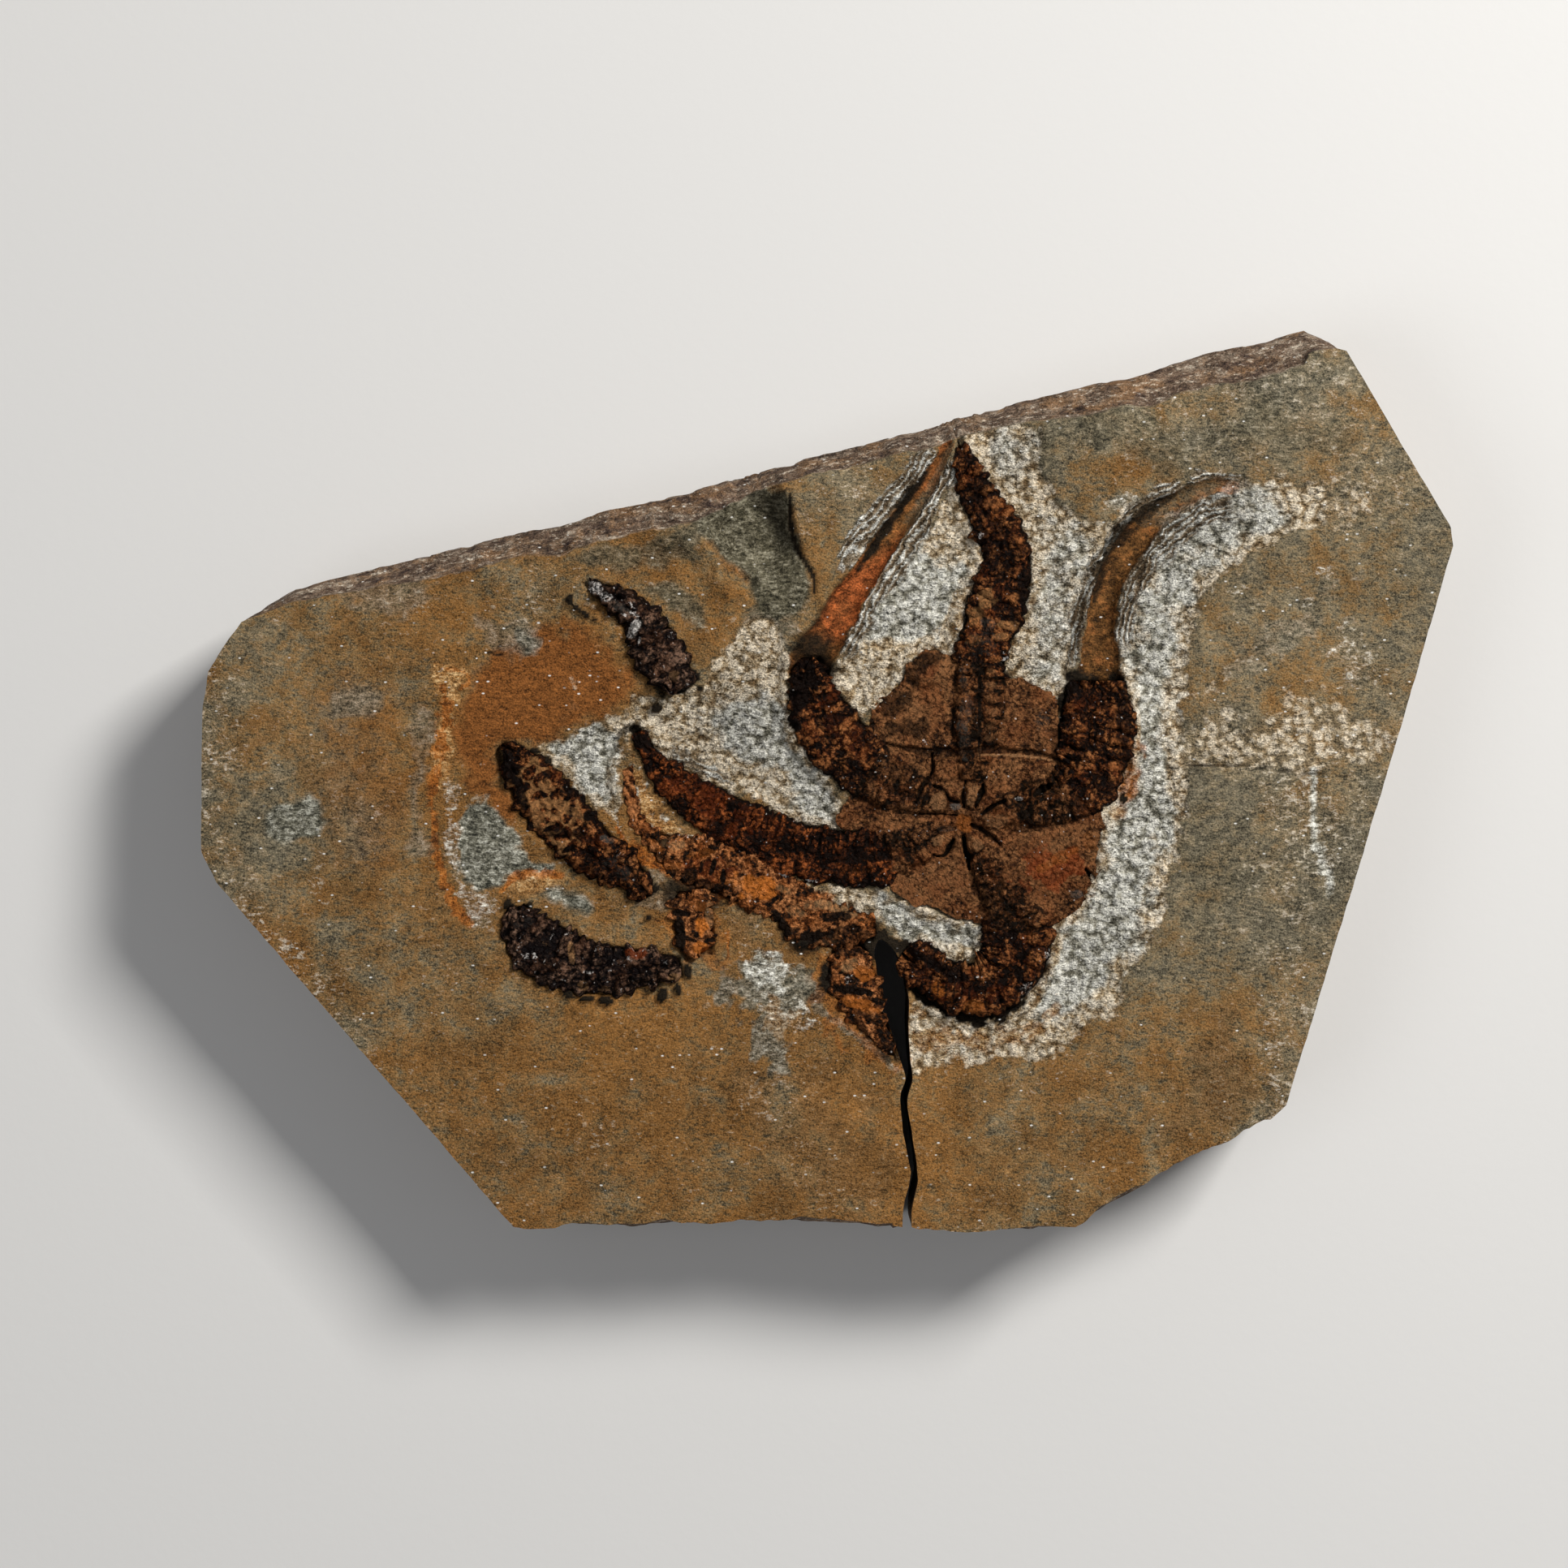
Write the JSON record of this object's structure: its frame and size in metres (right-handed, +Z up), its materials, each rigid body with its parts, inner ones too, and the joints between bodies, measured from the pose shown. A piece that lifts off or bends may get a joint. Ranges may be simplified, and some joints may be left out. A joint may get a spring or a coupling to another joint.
{
  "type": "fossil brittle star",
  "caption": "Brittle star fossil in relief on a sawn stone slab, with a five-cornered disc, curled plated arms, loose arms of a second one, an open crack and pecked hollows round it.",
  "frame": {"origin": "middle of the slab's flat back, under the middle of its box", "axes": "+X along the slab towards its pointed end, +Y towards the broken upper edge, +Z up out of the fossil face"},
  "size_m": [0.0976, 0.0704, 0.012],
  "materials": {
    "stone": "matte, fine-grained",
    "disc_fossil": "dull, slightly waxy",
    "dark_fossil": "granular, slight sheen",
    "red_fossil": "granular, slight sheen",
    "rusty_fossil": "granular, dull",
    "black_fossil": "granular, glinting"
  },
  "bodies": {
    "root": {"slab": "stone", "disc": "disc_fossil", "arm_up": "dark_fossil", "arm_right": "dark_fossil", "arm_upper_left": "dark_fossil", "arm_left": "red_fossil", "arm_down": "dark_fossil", "arm_curl": "rusty_fossil", "arm_stub": "rusty_fossil", "short_arm": "rusty_fossil", "loose_arm_lower": "black_fossil", "loose_arm_middle": "dark_fossil", "loose_arm_upper": "black_fossil"}
  },
  "joints": []
}
